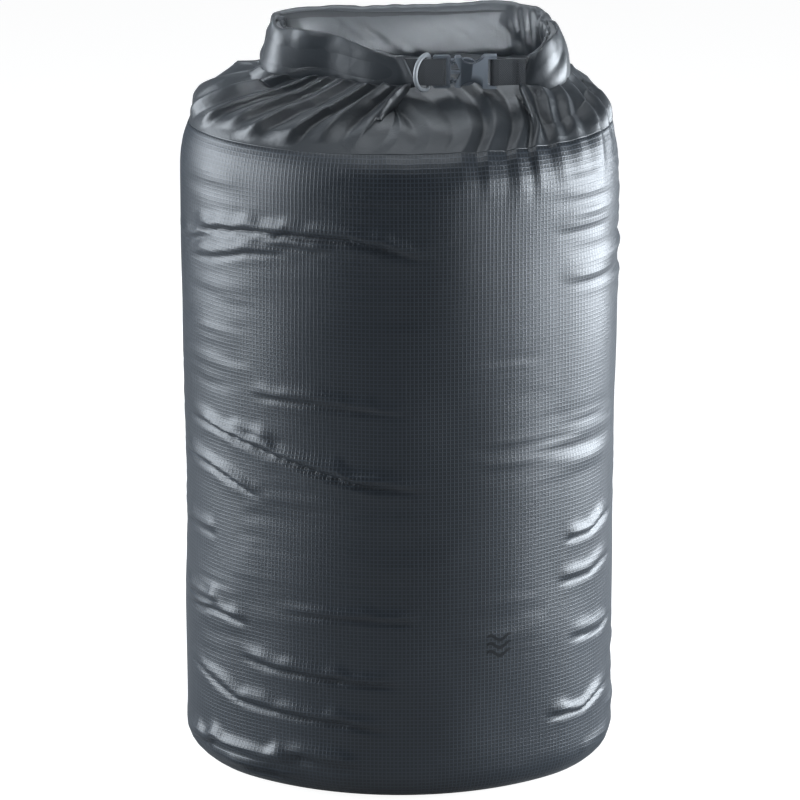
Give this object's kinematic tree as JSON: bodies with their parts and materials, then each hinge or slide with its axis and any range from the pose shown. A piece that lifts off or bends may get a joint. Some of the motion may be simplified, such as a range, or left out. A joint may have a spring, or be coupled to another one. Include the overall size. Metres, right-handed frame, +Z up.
{
  "type": "roll-top dry sack",
  "caption": "Stuffed oval fabric sack with a rolled mouth bent round and clipped by webbing and a side-release buckle into a carry loop, with a D-ring.",
  "frame": {"origin": "middle of the base, on the surface that the sack stands on", "axes": "+Z up the sack, -Y towards the front, where the buckle is, +X to the right as seen from the front"},
  "size_m": [0.3302, 0.25, 0.5901],
  "materials": {
    "ripstop_fabric": "coated ripstop nylon, dark slate grey, soft sheen",
    "collar_fabric": "smooth coated nylon, dark slate grey, glossy",
    "seam_tape": "heat-bonded translucent tape, satin",
    "stiffener": "matte",
    "webbing": "woven polyamide webbing, near black",
    "thread": "polyester thread, near black",
    "buckle": "satin moulded acetal, slate grey",
    "ring": "satin moulded plastic, slate grey"
  },
  "bodies": {
    "bag": {"body_panel": "ripstop_fabric", "base_panel": "ripstop_fabric", "collar_panel": "collar_fabric", "collar_seam_tape": "seam_tape", "base_seam_tape": "seam_tape", "side_seam_tape": "seam_tape", "roll_wrap_back": "collar_fabric", "roll_inner_turn_back": "collar_fabric", "mouth_stiffener_back": "stiffener"},
    "closure_loop": {"roll_wrap_left": "collar_fabric", "roll_wrap_right": "collar_fabric", "roll_inner_turn_left": "collar_fabric", "roll_inner_turn_right": "collar_fabric", "mouth_stiffener_left": "stiffener", "mouth_stiffener_right": "stiffener", "left_webbing": "webbing", "right_webbing": "webbing", "left_bartack": "thread", "right_bartack": "thread", "buckle_plug": "buckle"},
    "buckle_socket": {"buckle_socket": "buckle"},
    "upper_latch": {"latch_prong_upper": "buckle"},
    "lower_latch": {"latch_prong_lower": "buckle"},
    "d_ring": {"d_ring": "ring"}
  },
  "joints": [
    {"name": "carry_loop_lift", "type": "hinge", "parent": "bag", "child": "closure_loop", "pos_m": [0, 0.015, 0.572], "axis": [-1, 0, 0], "range_deg": [0, 50]},
    {"name": "buckle_release", "type": "slide", "parent": "closure_loop", "child": "buckle_socket", "axis": [1, 0, 0], "range_m": [0, 0.016], "deforming": ["latch_prong_upper", "latch_prong_lower", "right_webbing"]},
    {"name": "upper_latch_squeeze", "type": "hinge", "parent": "closure_loop", "child": "upper_latch", "pos_m": [0.0382, -0.045, 0.5627], "axis": [0, 1, 0], "range_deg": [0, 11], "stiffness_Nm_per_rad": 0.3},
    {"name": "lower_latch_squeeze", "type": "hinge", "parent": "closure_loop", "child": "lower_latch", "pos_m": [0.0382, -0.045, 0.5483], "axis": [0, -1, 0], "range_deg": [0, 11], "stiffness_Nm_per_rad": 0.3},
    {"name": "d_ring_swing", "type": "hinge", "parent": "closure_loop", "child": "d_ring", "pos_m": [0.0215, -0.045, 0.5555], "axis": [0, 0, 1], "range_deg": [-22, 80]}
  ]
}
